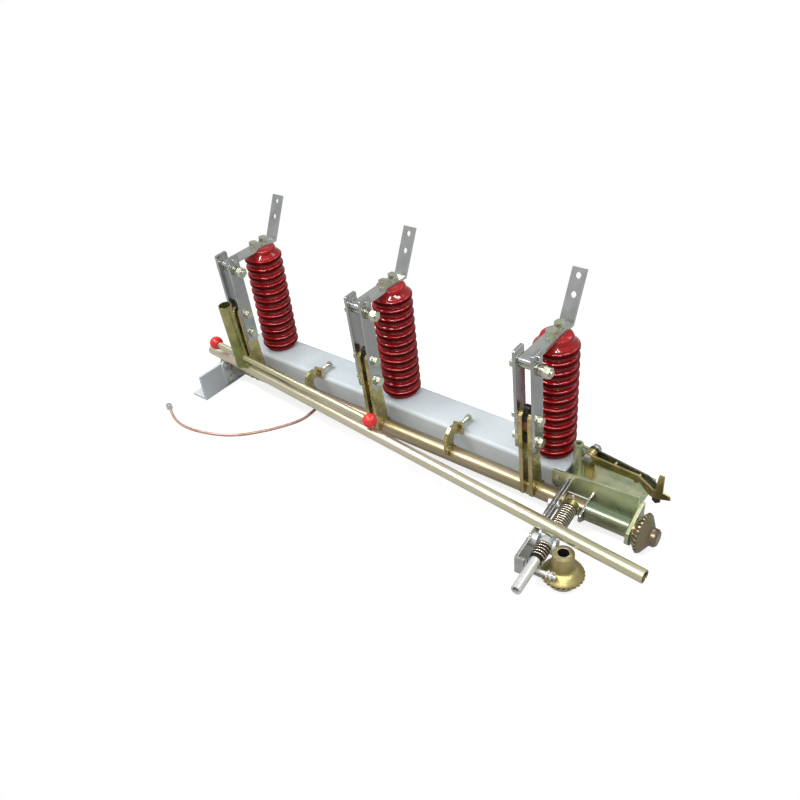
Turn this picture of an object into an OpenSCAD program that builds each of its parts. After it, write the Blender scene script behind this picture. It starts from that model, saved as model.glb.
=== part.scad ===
// Indoor three-pole earthing switch for a medium voltage panel.
// Millimetres. The floor is z = 0, x runs along the beam, +y is the rear, z is up.
// The origin is the middle of the four floor holes. The shapes are drawn from the
// insulator line, and place() moves them back by the offset of the beam.

/* [Poles] */
// spacing between neighbouring poles
pole_gap = 275; // [200:5:350]
// height of one post insulator
ins_h = 191.5; // [120:0.5:260]
// radius of the insulator sheds
shed_r = 31; // [24:0.5:45]
// radius of the insulator core between the sheds
core_r = 25; // [18:0.5:35]
// number of sheds on one insulator
shed_n = 12; // [4:1:16]
// half thickness of one shed rim
shed_edge = 4.6; // [2:0.1:6]
// height of the first shed above the beam
shed_low = 12.2; // [8:0.1:20]
// distance of the last shed below the insulator top
shed_top = 16.8; // [10:0.1:30]

/* [Beam and foot] */
// width of the folded beam
beam_w = 64; // [50:1:100]
// height of the folded beam
beam_h = 60; // [50:1:80]
// sheet thickness of the beam
beam_t = 4; // [2:0.5:6]
// distance from the insulator line back to the beam centre line
beam_off = 7; // [0:1:15]
// left end of the beam
beam_x0 = -338; // [-400:1:-300]
// right end of the beam
beam_x1 = 312; // [290:1:360]
// corner radius of the fold
beam_r = 6; // [3:0.5:10]
// width of the inward lips at the floor
lip_w = 16; // [12:1:24]
// diameter of the floor mounting holes
floor_hole_d = 9; // [6:0.5:12]
// mounting hole pitch along the beam
floor_pitch_x = 460; // [300:10:600]
// height of the left foot angle
foot_h = 50; // [40:1:60]
// reach of the foot angle toward the front
foot_front = 142; // [100:1:180]
// thickness of the foot angle
foot_t = 5; // [3:0.5:8]
// width of the foot flange on the floor
foot_flange = 30; // [20:1:50]

/* [Main shaft] */
// distance of the main shaft axis in front of the insulator line
shaft_off = 60; // [50:0.5:80]
// height of the main shaft axis
shaft_z = 32; // [25:0.5:45]
// diameter of the main shaft
shaft_d = 25; // [20:0.5:35]
// diameter of the journal that carries the bevel gear
journal_d = 13; // [10:0.5:20]
// left end of the main shaft
shaft_x0 = -368; // [-400:1:-345]
// start of the journal
journal_x0 = 420; // [400:1:440]
// end of the journal
shaft_x1 = 459; // [440:1:480]
// radial running clearance of the bearings
run_gap = 0.05; // [0.01:0.01:0.1]

/* [Blades] */
// width of the contact bar on the insulator
bar_w = 20; // [16:1:30]
// thickness of the contact bar
bar_t = 5; // [3:0.5:8]
// gap on each side between bar and blades
blade_gap = 0.4; // [0.2:0.05:1]
// thickness of one blade
blade_t = 5; // [3:0.5:8]
// width of one blade
blade_w = 22; // [16:1:30]
// lower end of the blades above the shaft axis
blade_low = 80; // [60:1:120]
// how far the blades stand above the contact bar underside
blade_over = 16.5; // [10:0.5:30]
// gap between the two plates of one arm
arm_gap = 8; // [4:0.5:12]
// top of the arm plates above the shaft axis
arm_high = 141; // [110:1:170]
// forward lean of arms and blades in degrees
arm_lean = 2; // [0:0.5:8]
// distance of the arm centre line in front of the shaft axis
arm_off = 5.3; // [0:0.1:8]
// height of the lower blade bolt above the shaft axis
bolt_low = 94; // [80:1:120]
// pitch of the two blade bolts
bolt_pitch = 36; // [20:1:60]
// distance of the spring clamp bolt below the contact bar
clamp_under = 7.5; // [7.5:0.5:30]
// length of the leaning upper leg of the contact bar
leg_len = 74; // [50:1:110]
// lean of the upper leg to the rear in degrees
leg_lean = 27; // [0:1:45]
// diameter of the two cable holes in the upper leg
leg_hole_d = 9; // [6:0.5:13]
// pitch of the two cable holes
leg_hole_pitch = 25; // [15:1:40]

/* [Stops] */
// position of the left stop arm along the beam
stop_x0 = -145; // [-200:1:-80]
// position of the right stop arm along the beam
stop_x1 = 138; // [80:1:200]
// thickness of a stop arm
stop_t = 5; // [3:0.5:8]

/* [Bevel gears] */
// outer radius of the toothed rim
gear_r = 28; // [20:0.5:40]
// number of teeth
gear_n = 28; // [16:1:40]
// length of the gear on the main shaft
gear_len = 29.5; // [22:0.5:40]
// length of the second gear
gear2_len = 47; // [30:1:60]
// bore radius of the second gear
gear2_bore = 7; // [5:0.1:10]

/* [Front drive] */
// position of the drive line along the beam
drive_x = 342.5; // [330:0.5:380]
// height of the drive line
drive_z = 45; // [40:0.5:60]
// turn of the drive line seen from above, in degrees
drive_yaw = 5; // [0:0.5:10]
// radius of the operating shaft
op_r = 7; // [5:0.5:10]
// front end of the operating shaft from the main shaft axis
op_end = 180; // [150:1:220]
// width across flats of the hexagon socket
hex_af = 9; // [6:0.5:12]

/* [Loose handles] */
// outer radius of the long extension tube
tube_r = 9; // [6:0.5:14]
// wall of the long extension tube
tube_wall = 1.6; // [1:0.1:3]
// outer radius of the handle socket tube
grip_r = 11; // [8:0.5:16]
// inner radius of the handle socket tube
grip_bore = 9.3; // [6:0.1:13]
// radius of the handle cross bar
rod_r = 5; // [3:0.5:8]
// radius of a ball knob
knob_r = 11.5; // [8:0.5:16]

/* [Hidden] */
$fn = 48;
beam_y0 = -beam_off - beam_w/2;
beam_y1 = -beam_off + beam_w/2;
beam_len = beam_x1 - beam_x0;
shaft_y = -shaft_off;
shaft_r = shaft_d/2;
journal_r = journal_d/2;
bush_r = shaft_r + 2.5;
top_z = beam_h;
bar_z = beam_h + ins_h;
shed_high = ins_h - shed_top;
blade_high = bar_z - shaft_z + blade_over;
clamp_z = bar_z - shaft_z - clamp_under;
stop_z = beam_h + 8.5;
bar_bend = 26.5;
bar_front = -80;
in_face = bar_w/2 + blade_gap;
out_face = in_face + blade_t;
arm_t = in_face - arm_gap/2;
poles = [-pole_gap, 0, pole_gap];
shed_step = (shed_high - shed_low)/(shed_n - 1);
floor_hole_y0 = beam_y0 + 9;
floor_hole_y1 = beam_y1 - 9;
foot_x = beam_x0 - foot_t;
plate_t = 4;
bracket_z = [beam_h - 19, beam_h - 10];
end_x = 422;
end_t = 5;
guide_x = 358;
guide_t = 3;
bolt_f = -15;
bolt_b = 7;
lever_x = 335;
lever_z = beam_h + 18;
lever_lift = beam_h - 60;
lever_y0 = -14;
lever_t = 3;
block_y0 = -10;
block_y1 = -1;
gear2_x = 28.4;
gear2_s = 105.9;
gear2_z = 8;
yoke_s = 94;
seat_s = 66;
collar_s = 16.5;
tube_x0 = -367.9;
tube_y0 = -81.4;
tube_z = beam_h + 5.2;
tube_len = 852;
tube_yaw = -4.9;
grip_x = -269;
grip_y = -96.6;
grip_z = beam_h + 33.3;
grip_lean = 4.3;
grip_dip = 1.41;
grip_yaw = -3.3;
rod_left = 66;
rod_right = 300;
wire_r = 2.5;
wire_pts = [
  [-145, -52, 6],
  [-145, -58, 6],
  [-145, -68, 5],
  [-146, -79, 3.5],
  [-148, -92, 2.6],
  [-153, -106, 2.6],
  [-162, -122, 2.6],
  [-174, -140, 2.6],
  [-188, -157, 2.6],
  [-204, -174, 2.6],
  [-224, -189, 2.6],
  [-246, -200, 2.6],
  [-270, -208, 2.6],
  [-294, -213, 2.6],
  [-318, -214, 2.6],
  [-340, -210, 2.6],
  [-358, -203, 2.6],
  [-372, -196, 2.6]
];

// move from the insulator line to the middle of the floor holes
module place() {
  translate([0, beam_off, 0]) children();
}

// lay a flat outline drawn in y and z along x
module along_x(x0, len) {
  translate([x0, 0, 0])
    rotate([90, 0, 90])
      linear_extrude(len) children();
}

// lay a flat outline drawn in x and z, from y1 toward the front
module along_y(y1, len) {
  translate([0, y1, 0])
    rotate([90, 0, 0])
      linear_extrude(len) children();
}

module rod_x(x0, x1, r) {
  translate([x0, 0, 0])
    rotate([0, 90, 0])
      cylinder(h = x1 - x0, r = r);
}

module rod_y(y0, y1, r) {
  translate([0, y0, 0])
    rotate([-90, 0, 0])
      cylinder(h = y1 - y0, r = r);
}

module ring_x(x0, x1, r_out, r_in) {
  difference() {
    rod_x(x0, x1, r_out);
    rod_x(x0 - 1, x1 + 1, r_in);
  }
}

module ring_y(y0, y1, r_out, r_in) {
  difference() {
    rod_y(y0, y1, r_out);
    rod_y(y0 - 1, y1 + 1, r_in);
  }
}

// six-sided prism along z, size across flats
module hex(af, h) {
  cylinder(h = h, r = af/2/cos(30), $fn = 6);
}

module hex_x(x0, x1, af) {
  translate([x0, 0, 0])
    rotate([0, 90, 0])
      hex(af, x1 - x0);
}

module hex_y(y0, y1, af) {
  translate([0, y0, 0])
    rotate([-90, 0, 0])
      hex(af, y1 - y0);
}

// frame of the arms and blades of one pole
module arm_frame(x) {
  translate([x, shaft_y - arm_off, shaft_z])
    rotate([arm_lean, 0, 0])
      children();
}

// frame of the front drive, its axis runs along local -y
module drive_frame() {
  translate([drive_x, shaft_y, 0])
    rotate([0, 0, drive_yaw])
      children();
}

module beam_outline(in) {
  r = beam_r - in;
  w = beam_w - 2*in;
  h = beam_h - 2*in;
  translate([beam_y0 + in, in]) square([w, h - r]);
  translate([beam_y0 + in + r, in]) square([w - 2*r, h]);
  translate([beam_y0 + in + r, in + h - r]) circle(r);
  translate([beam_y1 - in - r, in + h - r]) circle(r);
}

module beam() {
  color([0.72, 0.76, 0.78]) place()
  difference() {
    union() {
      along_x(beam_x0, beam_len)
        difference() {
          beam_outline(0);
          beam_outline(beam_t);
          translate([beam_y0 + lip_w, -1]) square([beam_w - 2*lip_w, beam_t + 2]);
        }
      translate([beam_x0, beam_y0 + beam_t - 0.5, beam_t - 0.5])
        cube([beam_t, beam_w - 2*beam_t + 1, beam_h - 2*beam_t + 1]);
    }
    for (x = poles)
      translate([x, 0, beam_h - beam_t - 1]) cylinder(h = beam_t + 2, r = 6.5);
    for (x = [-floor_pitch_x/2, floor_pitch_x/2])
      for (y = [floor_hole_y0, floor_hole_y1])
        translate([x, y, -1]) cylinder(h = beam_t + 2, r = floor_hole_d/2);
    for (y = [-24, 10])
      translate([0, y, 26]) rod_x(beam_x0 - 1, beam_x0 + beam_t + 1, 4.2);
    for (z = bracket_z) {
      translate([304, 0, z]) rod_y(beam_y0 - 1, beam_y0 + beam_t + 1, 2.7);
      translate([304, 0, z]) rod_y(beam_y1 - beam_t - 1, beam_y1 + 1, 2.7);
    }
    translate([-145, 0, 15]) rod_y(beam_y0 - 1, beam_y0 + beam_t + 1, 3.2);
  }
}

module foot_angle() {
  color([0.72, 0.76, 0.78]) place()
  difference() {
    union() {
      translate([foot_x, -foot_front, 0]) cube([foot_t, foot_front + beam_y1, foot_h]);
      translate([foot_x - foot_flange, -foot_front, 0]) cube([foot_flange + 0.5, foot_front + beam_y1, foot_t]);
    }
    for (y = [-24, 10])
      translate([0, y, 26]) rod_x(foot_x - 1, foot_x + foot_t + 1, 4.2);
    translate([0, shaft_y, shaft_z]) rod_x(foot_x - 1, foot_x + foot_t + 1, bush_r);
    for (z = [18, 42])
      translate([0, -86, z]) rod_x(foot_x - 1, foot_x + foot_t + 1, 3.2);
    for (y = [-122, -2])
      translate([foot_x - 16, y, -1]) cylinder(h = foot_t + 2, r = 5);
  }
}

module foot_bolts() {
  color([0.75, 0.76, 0.74]) place()
  for (y = [-24, 10])
    translate([0, y, 26]) {
      hex_x(foot_x - 5.5, foot_x, 13);
      rod_x(foot_x - 0.2, beam_x0 + beam_t + 9, 4);
      difference() {
        hex_x(beam_x0 + beam_t, beam_x0 + beam_t + 6.5, 13);
        rod_x(beam_x0 + beam_t - 1, beam_x0 + beam_t + 8, 3.9);
      }
    }
}

module bearing_plate() {
  color([0.80, 0.72, 0.42]) place()
  difference() {
    along_x(beam_x0, plate_t)
      polygon([[-94, 8], [-94, 50], [-86, 56], [-48, 56], [beam_y0 - 2, 48], [beam_y0 - 2, 8]]);
    translate([0, shaft_y, shaft_z]) rod_x(beam_x0 - 1, beam_x0 + plate_t + 1, bush_r);
    for (z = [18, 42])
      translate([0, -86, z]) rod_x(beam_x0 - 1, beam_x0 + plate_t + 1, 3.2);
  }
}

module bearing_bolts() {
  color([0.75, 0.76, 0.74]) place()
  for (z = [18, 42])
    translate([0, -86, z]) {
      hex_x(beam_x0 + plate_t, beam_x0 + plate_t + 4.5, 10);
      rod_x(foot_x - 8, beam_x0 + plate_t + 0.2, 3);
      difference() {
        hex_x(foot_x - 5.5, foot_x, 10);
        rod_x(foot_x - 7, foot_x + 1, 2.9);
      }
    }
}

module bush_left() {
  color([0.72, 0.55, 0.30]) place()
  translate([0, shaft_y, shaft_z])
    difference() {
      union() {
        rod_x(foot_x, beam_x0 + plate_t + 0.2, bush_r);
        rod_x(beam_x0 + plate_t, beam_x0 + plate_t + 2.5, bush_r + 3);
      }
      rod_x(foot_x - 1, beam_x0 + plate_t + 4, shaft_r + run_gap);
    }
}

module bush_right() {
  color([0.72, 0.55, 0.30]) place()
  translate([0, shaft_y, shaft_z])
    difference() {
      union() {
        rod_x(end_x, end_x + end_t + 0.2, journal_r + 2.5);
        rod_x(end_x + end_t, end_x + end_t + 2, journal_r + 6);
      }
      rod_x(end_x - 1, end_x + end_t + 4, journal_r + run_gap);
    }
}

module drive_bracket() {
  color([0.62, 0.66, 0.40]) place()
  difference() {
    union() {
      along_y(beam_y0, plate_t)
        polygon([[296, beam_h - 23], [296, beam_h + 1], [314, beam_h + 3], [end_x, beam_h + 12], [end_x, 34],
          [340, 34], [314, 33], [308, beam_h - 23]]);
      translate([beam_x1 + 1, beam_y0 - 0.5, 36]) cube([103, 64.5, 4]);
      along_y(beam_y1 + plate_t, plate_t)
        polygon([[296, beam_h - 23], [296, beam_h + 1], [318, beam_h - 2], [330, beam_h - 10], [416, 46],
          [416, 36], [313, 36], [308, beam_h - 23]]);
    }
    for (z = bracket_z) {
      translate([304, 0, z]) rod_y(beam_y0 - plate_t - 1, beam_y0 + 1, 2.7);
      translate([304, 0, z]) rod_y(beam_y1 - 1, beam_y1 + plate_t + 1, 2.7);
    }
  }
}

module bracket_bolts() {
  color([0.75, 0.76, 0.74]) place()
  for (z = bracket_z) {
    translate([304, 0, z]) {
      hex_y(beam_y0 - plate_t - 3.8, beam_y0 - plate_t, 8);
      rod_y(beam_y0 - plate_t - 0.2, beam_y0 + beam_t + 6, 2.5);
      difference() {
        hex_y(beam_y0 + beam_t, beam_y0 + beam_t + 4, 8);
        rod_y(beam_y0 + beam_t - 1, beam_y0 + beam_t + 5, 2.4);
      }
      hex_y(beam_y1 + plate_t, beam_y1 + plate_t + 3.8, 8);
      rod_y(beam_y1 - beam_t - 6, beam_y1 + plate_t + 0.2, 2.5);
      difference() {
        hex_y(beam_y1 - beam_t - 4, beam_y1 - beam_t, 8);
        rod_y(beam_y1 - beam_t - 5, beam_y1 - beam_t + 1, 2.4);
      }
    }
  }
}

module end_plate() {
  color([0.70, 0.72, 0.42]) place()
  difference() {
    along_x(end_x, end_t)
      polygon([[-32, 60], [-39, 56], [-78, 38], [-81, 22], [-72, 12], [-32, 12]]);
    translate([0, shaft_y, shaft_z]) rod_x(end_x - 1, end_x + end_t + 1, journal_r + 2.5);
  }
}

module guide_plate() {
  color([0.74, 0.74, 0.70]) place()
  difference() {
    union() {
      along_x(guide_x, guide_t)
        polygon([[beam_y0 - plate_t, 50], [-56, 48], [-80, 40], [-80, 26], [-56, 14], [beam_y0 - plate_t, 20]]);
      translate([0, -78, 33]) rod_x(guide_x, guide_x + guide_t, 7.3);
    }
    translate([0, shaft_y, shaft_z]) rod_x(guide_x - 1, guide_x + guide_t + 1, shaft_r + 0.1);
  }
}

module insulator(x) {
  color([0.62, 0.05, 0.06]) place()
  translate([x, 0, top_z])
    difference() {
      rotate_extrude() {
        square([core_r, ins_h - 15]);
        for (i = [0:shed_n - 1])
          translate([0, shed_low + i*shed_step]) {
            translate([0, -shed_edge]) square([shed_r - shed_edge, 2*shed_edge]);
            translate([shed_r - shed_edge, 0]) circle(shed_edge);
          }
        polygon([[0, ins_h - 16], [29.5, ins_h - 14.5], [27.5, ins_h - 9], [23.5, ins_h - 3.5],
          [21.5, ins_h], [0, ins_h]]);
      }
      translate([0, 0, -1]) cylinder(h = 26, r = 6);
      for (y = [bolt_f, bolt_b])
        translate([0, y, ins_h - 22]) cylinder(h = 23, r = 6);
    }
}

module insulator_1() { insulator(poles[0]); }
module insulator_2() { insulator(poles[1]); }
module insulator_3() { insulator(poles[2]); }

module base_bolts() {
  color([0.75, 0.76, 0.74]) place()
  for (x = poles)
    translate([x, 0, top_z]) {
      translate([0, 0, -beam_t - 10.5]) hex(19, 8);
      translate([0, 0, -beam_t - 2.5]) cylinder(h = 2.5, r = 12);
      translate([0, 0, -beam_t - 3]) cylinder(h = beam_t + 26, r = 5.95);
    }
}

module top_inserts() {
  color([0.78, 0.62, 0.30]) place()
  for (x = poles)
    for (y = [bolt_f, bolt_b])
      translate([x, y, bar_z - 22])
        difference() {
          cylinder(h = 22, r = 6);
          translate([0, 0, 2]) cylinder(h = 21, r = 4.05);
        }
}

module bar_outline() {
  translate([bar_front + 3.8, bar_z]) square([bar_bend - bar_front - 3.8, bar_t]);
  translate([bar_front + 3.8, bar_z + bar_t - 3.8]) circle(3.8);
  translate([bar_front + 3.8, bar_z + bar_t - 7.6]) square([2.5, 7.6]);
  translate([bar_bend, bar_z])
    rotate(-leg_lean)
      translate([-bar_t, 0]) square([bar_t, leg_len]);
}

module contact_bar(x) {
  color([0.78, 0.80, 0.82]) place()
  difference() {
    along_x(x - bar_w/2, bar_w) bar_outline();
    for (y = [bolt_f, bolt_b])
      translate([x, y, bar_z - 1]) cylinder(h = bar_t + 2, r = 4.5);
    translate([x, bar_bend, bar_z])
      rotate([-leg_lean, 0, 0])
        for (s = [0, 1])
          translate([0, 0, leg_len - 10 - s*leg_hole_pitch])
            rod_y(-bar_t - 1, 1, leg_hole_d/2);
  }
}

module contact_bar_1() { contact_bar(poles[0]); }
module contact_bar_2() { contact_bar(poles[1]); }
module contact_bar_3() { contact_bar(poles[2]); }

module contact_bolts() {
  color([0.80, 0.78, 0.66]) place()
  for (x = poles)
    for (y = [bolt_f, bolt_b])
      translate([x, y, bar_z + bar_t]) {
        cylinder(h = 1.6, r = 8);
        translate([0, 0, 1.6]) cylinder(h = 2, r = 6.4);
        translate([0, 0, 3.6]) rotate([0, 0, 20]) hex(13, 5.5);
        translate([0, 0, -bar_t - 16]) cylinder(h = bar_t + 17, r = 4);
      }
}

module main_shaft() {
  color([0.80, 0.66, 0.44]) place()
  translate([0, shaft_y, shaft_z])
    difference() {
      union() {
        rod_x(shaft_x0, journal_x0, shaft_r);
        rod_x(journal_x0 - 1, shaft_x1, journal_r);
      }
      translate([338, 0, -shaft_r - 1]) cylinder(h = shaft_d + 2, r = 1.6);
      translate([452, 0, -journal_r - 1]) cylinder(h = journal_d + 2, r = 2);
    }
}

module shaft_collar() {
  color([0.60, 0.62, 0.60]) place()
  translate([0, shaft_y, shaft_z])
    difference() {
      union() {
        rod_x(beam_x0 + plate_t + 3.2, beam_x0 + plate_t + 12.2, shaft_r + 6);
        translate([beam_x0 + plate_t + 7.7, 0, shaft_r + 2]) cylinder(h = 6, r = 2.5);
      }
      rod_x(beam_x0, beam_x0 + 30, shaft_r);
    }
}

module shaft_sleeve() {
  color([0.38, 0.46, 0.36]) place()
  translate([0, shaft_y, shaft_z])
    ring_x(guide_x + guide_t + 0.5, end_x - 0.5, shaft_r + 2, shaft_r);
}

module shaft_pin() {
  color([0.80, 0.80, 0.80]) place()
  translate([338, shaft_y, shaft_z])
    translate([0, 0, -shaft_r - 1]) cylinder(h = shaft_d + 3.2, r = 1.6);
}

module arm_plate_outline() {
  polygon([[-11.5, -4], [-blade_w/2, 60], [-blade_w/2, arm_high - 4], [-blade_w/2 + 4, arm_high],
    [blade_w/2 - 4, arm_high], [blade_w/2, arm_high - 4], [blade_w/2, 60], [14, 8]]);
}

module arms(x) {
  color([0.80, 0.70, 0.40]) place()
  difference() {
    arm_frame(x)
      difference() {
        union() {
          along_x(-in_face, arm_t) arm_plate_outline();
          along_x(arm_gap/2, arm_t) arm_plate_outline();
        }
        for (s = [0, 1])
          translate([0, 0, bolt_low + s*bolt_pitch]) rod_x(-in_face - 1, in_face + 1, 4.2);
      }
    translate([0, shaft_y, shaft_z]) rod_x(x - 30, x + 30, shaft_r);
    translate([x - 30, shaft_y - 40, shaft_z - 30]) cube([60, 80, 28]);
  }
}

module arms_1() { arms(poles[0]); }
module arms_2() { arms(poles[1]); }
module arms_3() { arms(poles[2]); }

module arm_spacers() {
  color([0.22, 0.20, 0.18]) place()
  for (x = poles)
    arm_frame(x) {
      difference() {
        union() {
          translate([0, 0, bolt_low + bolt_pitch]) rod_x(-arm_gap/2, arm_gap/2, 8);
          translate([-arm_gap/2, -6, bolt_low + bolt_pitch]) cube([arm_gap, 12, 14]);
          translate([0, 0, bolt_low + bolt_pitch + 14]) rod_x(-arm_gap/2, arm_gap/2, 6);
        }
        translate([0, 0, bolt_low + bolt_pitch]) rod_x(-arm_gap, arm_gap, 4.2);
      }
      translate([0, 0, bolt_low]) ring_x(-arm_gap/2, arm_gap/2, 7, 4.2);
    }
}

module blade_outline() {
  polygon([[-blade_w/2, blade_low + 2], [-blade_w/2 + 2, blade_low], [blade_w/2 - 2, blade_low],
    [blade_w/2, blade_low + 2], [blade_w/2, blade_high - 1.2], [blade_w/2 - 1.2, blade_high],
    [-blade_w/2 + 1.2, blade_high], [-blade_w/2, blade_high - 1.2]]);
}

module blades(x) {
  color([0.80, 0.82, 0.84]) place()
  arm_frame(x)
    difference() {
      union() {
        along_x(in_face, blade_t) blade_outline();
        along_x(-out_face, blade_t) blade_outline();
      }
      for (s = [0, 1])
        translate([0, 0, bolt_low + s*bolt_pitch]) rod_x(-out_face - 1, out_face + 1, 4.2);
      translate([0, 0, clamp_z]) rod_x(-out_face - 1, out_face + 1, 4.2);
      translate([0, 2, blade_high - 8]) rod_x(-out_face - 1, out_face + 1, 2.5);
    }
}

module blades_1() { blades(poles[0]); }
module blades_2() { blades(poles[1]); }
module blades_3() { blades(poles[2]); }

module blade_bolts() {
  color([0.80, 0.76, 0.58]) place()
  for (x = poles)
    arm_frame(x)
      for (s = [0, 1])
        translate([0, 0, bolt_low + s*bolt_pitch]) {
          rod_x(-out_face - 8, out_face + 2, 4);
          ring_x(out_face, out_face + 1.4, 7.5, 3.9);
          hex_x(out_face + 1.4, out_face + 6, 12);
          ring_x(-out_face - 1.4, -out_face, 7.5, 3.9);
          difference() {
            hex_x(-out_face - 7, -out_face - 1.4, 12);
            rod_x(-out_face - 9, -out_face, 3.9);
          }
        }
}

module clamp_bolts() {
  color([0.82, 0.78, 0.62]) place()
  for (x = poles)
    arm_frame(x)
      translate([0, 0, clamp_z]) {
        rod_x(-out_face - 2, out_face + 20, 4);
        hex_x(-out_face - 7, -out_face - 1.6, 13);
        ring_x(-out_face - 1.6, -out_face, 8, 3.9);
        ring_x(out_face, out_face + 1.6, 8, 3.9);
        ring_x(out_face + 8, out_face + 9.6, 8, 3.9);
        difference() {
          hex_x(out_face + 9.6, out_face + 17.5, 14);
          rod_x(out_face + 9, out_face + 18, 3.9);
        }
      }
}

module clamp_springs() {
  color([0.30, 0.28, 0.26]) place()
  for (x = poles)
    arm_frame(x)
      translate([out_face + 1.6, 0, clamp_z])
        rotate([0, 90, 0])
          difference() {
            rotate_extrude()
              polygon([[4.3, 0], [7.6, 0.8], [7.6, 1.6], [5.6, 1.6], [7.6, 2.4], [7.6, 4.0], [5.6, 4.0],
                [7.6, 4.8], [7.6, 5.6], [4.3, 6.4]]);
            translate([0, 0, -1]) cylinder(h = 9, r = 4.3);
          }
}

module contact_rivets() {
  color([0.84, 0.84, 0.84]) place()
  for (x = poles)
    arm_frame(x)
      translate([0, 2, blade_high - 8]) {
        rod_x(in_face, out_face + 0.2, 2.5);
        rod_x(out_face, out_face + 2, 4);
        rod_x(-out_face - 0.2, -in_face, 2.5);
        rod_x(-out_face - 2, -out_face, 4);
      }
}

module stop_outline() {
  polygon([[-73, 38], [-76, 52], [-74, beam_h + 6], [-69, beam_h + 16], [-61, beam_h + 21], [-52, beam_h + 20],
    [-45, beam_h + 17], [-40, beam_h + 16], [-40, beam_h + 1], [-46, beam_h + 2], [-53, beam_h + 5],
    [-57, beam_h + 2], [-58, 54], [-56, 46], [-50, 38]]);
}

module stop_arms() {
  color([0.80, 0.72, 0.40]) place()
  difference() {
    union()
      for (x = [stop_x0, stop_x1]) {
        along_x(x - stop_t/2, stop_t) stop_outline();
        translate([x - 8, -42, beam_h + 1]) cube([16, 4, 15]);
      }
    translate([0, shaft_y, shaft_z]) rod_x(stop_x0 - 20, stop_x1 + 20, shaft_r);
    for (x = [stop_x0, stop_x1])
      translate([x, 0, stop_z]) rod_y(-48, -30, 3.1);
  }
}

module stop_bolts() {
  color([0.78, 0.79, 0.80]) place()
  for (x = [stop_x0, stop_x1])
    translate([x, 0, stop_z]) {
      rod_y(-46, -14, 3);
      hex_y(-17, -11.5, 9);
      difference() {
        hex_y(-38, -33, 10);
        rod_y(-39, -32, 2.9);
      }
    }
}

// blank of a mitre gear, hub toward +z, toothed side down
module gear_blank(len, bore, hub_r) {
  difference() {
    rotate_extrude()
      polygon([[bore, 0], [18, 0], [19, 0.6], [gear_r, 8.2], [gear_r, 9.4], [gear_r - 1.5, 12],
        [hub_r + 5, 18], [hub_r + 1.5, 20], [hub_r, 22], [hub_r, len - 2.5], [hub_r - 2.5, len], [bore, len]]);
    for (i = [0:gear_n - 1])
      rotate([0, 0, i*360/gear_n])
        translate([17, 0, -3.2])
          rotate([0, -40.2, 0])
            linear_extrude(4.4)
              polygon([[-1, -0.9], [18, -1.75], [18, 1.75], [-1, 0.9]]);
  }
}

module bevel_gear() {
  color([0.56, 0.54, 0.36]) place()
  translate([shaft_x1 - gear_len, shaft_y, shaft_z])
    difference() {
      rotate([0, 90, 0]) gear_blank(gear_len, journal_r, 12.5);
      translate([452 - shaft_x1 + gear_len, 0, -15]) cylinder(h = 30, r = 2);
    }
}

module gear_pin() {
  color([0.70, 0.70, 0.70]) place()
  translate([452, shaft_y, shaft_z - 12]) cylinder(h = 24, r = 2);
}

module strap_outline() {
  polygon([[-22, 47], [-22, 57], [58, 57], [64, 55], [141, 55], [141, 27], [90, 27], [84, 40], [70, 46], [60, 47]]);
}

module drive_straps() {
  color([0.74, 0.74, 0.68]) place()
  difference() {
    drive_frame()
      difference() {
        union() {
          rotate([0, 0, -90]) along_y(-18, 4) strap_outline();
          translate([-16, -seat_s, 47]) cube([3, seat_s + 22, 11]);
          translate([-22, -141, 27]) cube([13, 4, 28]);
        }
        translate([0, -131, 34.5]) rod_x(-24, -16, 3);
        translate([0, -yoke_s, 46]) rod_x(-24, -16, 2.6);
        translate([0, -30, 52]) rod_x(-24, -12, 3.2);
      }
    translate([300, beam_y0 - plate_t, 30]) cube([60, 30, 40]);
  }
}

module spring_seat() {
  color([0.74, 0.74, 0.70]) place()
  drive_frame()
    difference() {
      union() {
        translate([-18, -seat_s - 4, 34]) cube([30, 4, 21]);
        translate([0, 0, drive_z]) rod_y(-seat_s - 4, -seat_s, 10);
      }
      translate([0, 0, drive_z]) rod_y(-seat_s - 6, -seat_s + 2, op_r + run_gap);
    }
}

module yoke() {
  color([0.76, 0.78, 0.80]) place()
  drive_frame()
    difference() {
      union() {
        translate([0, -yoke_s, 46]) rod_x(-18, -10.7, 9);
        translate([0, -yoke_s, 46]) rod_x(10.7, 14.2, 9);
        translate([-18, -yoke_s - 5, 33.5]) cube([32.2, 10, 6]);
        translate([0, 0, drive_z]) rod_y(-yoke_s - 5, -yoke_s + 5, 10);
      }
      translate([0, 0, drive_z]) rod_y(-yoke_s - 12, -yoke_s + 12, op_r + run_gap);
      translate([0, -yoke_s, 46]) rod_x(-19, -12, 2.6);
      translate([0, -yoke_s, 46]) rod_x(10.4, 17, 2.6);
    }
}

module cross_pin() {
  color([0.80, 0.80, 0.80]) place()
  drive_frame() {
    translate([0, -131, 34.5]) {
      rod_x(-24, 30, 3);
      ring_x(18, 20, 5.5, 2.9);
      ring_x(23, 25, 5.5, 2.9);
    }
    translate([0, -yoke_s, 46]) {
      rod_x(-24.5, -12.5, 2.5);
      hex_x(-26, -22, 8);
    }
    translate([0, -30, 52]) {
      rod_x(-26, -12.5, 3);
      hex_x(-26, -22, 10);
      ring_x(-13, -11.5, 5.5, 2.9);
    }
  }
}

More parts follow.
